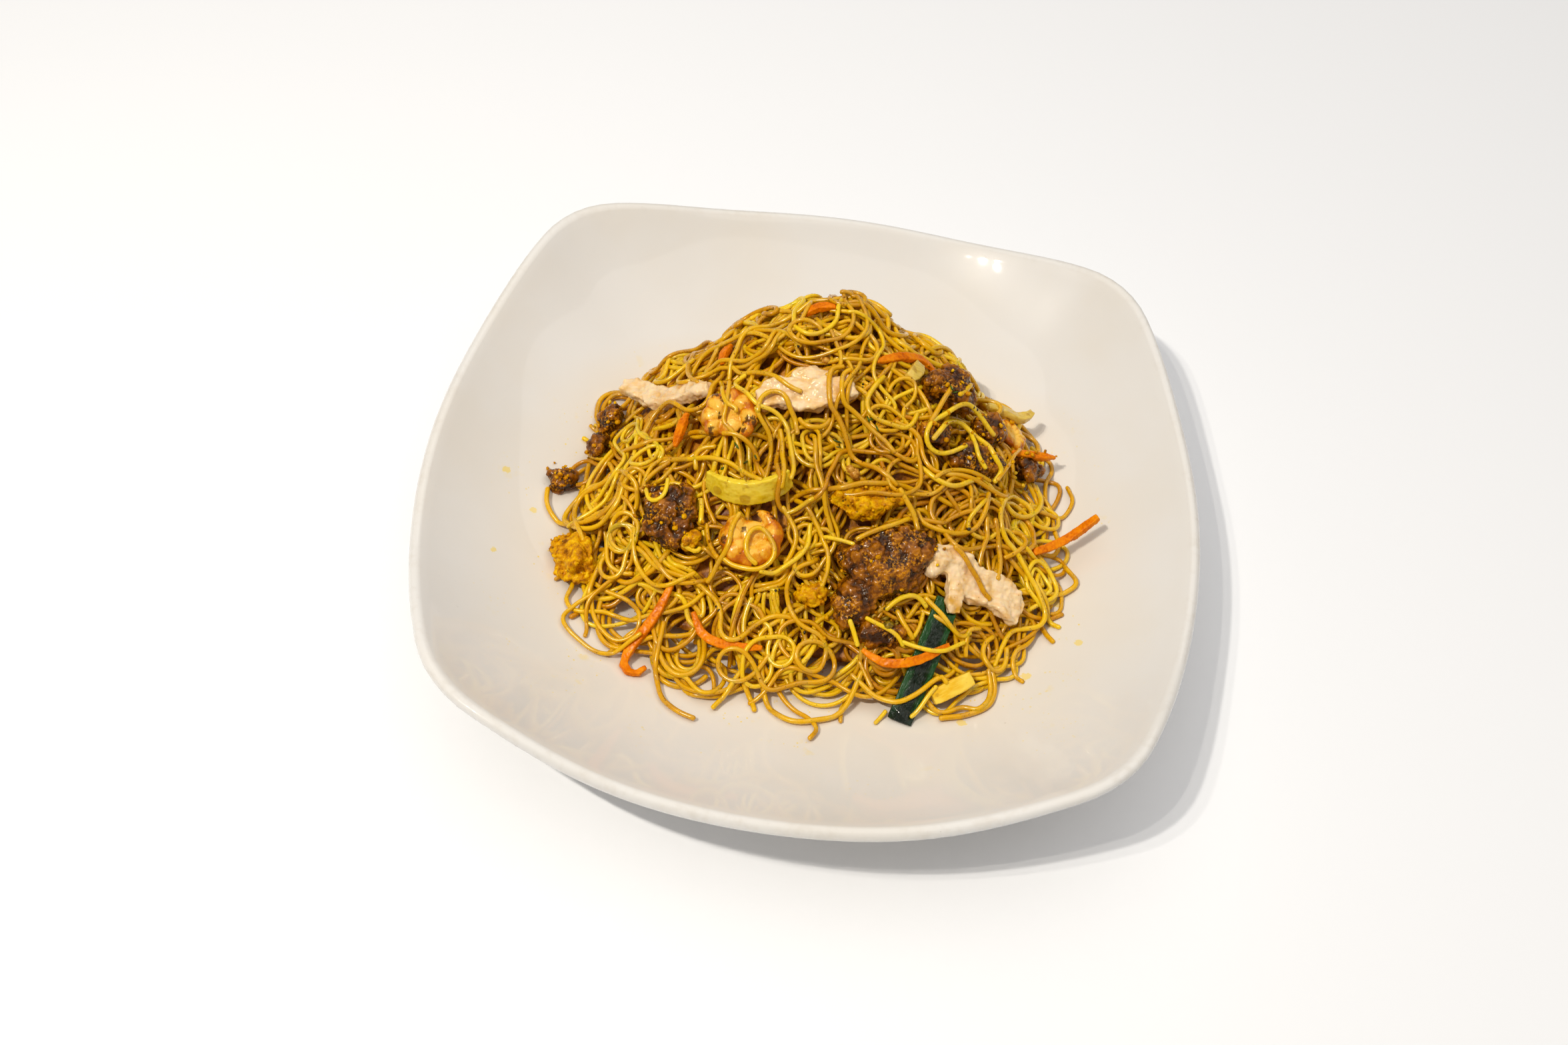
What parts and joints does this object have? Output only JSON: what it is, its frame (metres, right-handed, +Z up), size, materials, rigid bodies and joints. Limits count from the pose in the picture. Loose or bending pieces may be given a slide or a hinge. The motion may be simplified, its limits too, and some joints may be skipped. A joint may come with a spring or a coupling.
{
  "type": "bowl of curry stir-fried rice vermicelli",
  "caption": "Rounded square coupe bowl holding a heap of thin curry rice noodles with shrimp, chicken, fried meat, egg and cut vegetables.",
  "frame": {"origin": "under the middle of the bowl, on the surface that its foot stands on", "axes": "+Z up; -Y is the front of the bowl as it is served, +X its right side"},
  "size_m": [0.2622, 0.2622, 0.0725],
  "materials": {
    "glaze": "glossy cream-white glaze, a little worn at the lip",
    "noodle": "oily curry-yellow rice vermicelli with darker stains",
    "chicken": "moist pale cooked chicken",
    "shrimp": "orange-pink cooked shrimp with char marks",
    "meat": "dark brown craggy fried meat",
    "egg": "yellow-orange scrambled egg",
    "vegetable": "soft yellow-green cooked cabbage and onion",
    "scallion": "wet dark green scallion leaf",
    "carrot": "orange carrot strip"
  },
  "bodies": {
    "root": {"bowl": "glaze", "noodles": "noodle", "chicken_strip_left": "chicken", "chicken_piece_back": "chicken", "chicken_piece_front": "chicken", "shrimp_upper": "shrimp", "shrimp_front": "shrimp", "shrimp_right": "shrimp", "cabbage_strip": "vegetable", "onion_piece": "vegetable", "onion_strip_right": "vegetable", "bamboo_stick": "vegetable", "scallion_strip": "scallion", "meat_left": "meat", "meat_front": "meat", "meat_right_top": "meat", "meat_right_upper": "meat", "meat_right_inner": "meat", "meat_right_lower": "meat", "meat_right_edge": "meat", "meat_edge_back": "meat", "meat_edge_middle": "meat", "meat_edge_front": "meat", "egg_left": "egg", "egg_middle": "egg", "egg_small": "egg", "egg_crumb": "egg", "carrot_over_scallion": "carrot", "carrot_hook_left": "carrot", "carrot_front": "carrot", "carrot_out_right": "carrot", "carrot_right": "carrot", "carrot_top_right": "carrot", "carrot_top": "carrot", "carrot_shard_left": "carrot", "carrot_back_left": "carrot"}
  },
  "joints": []
}
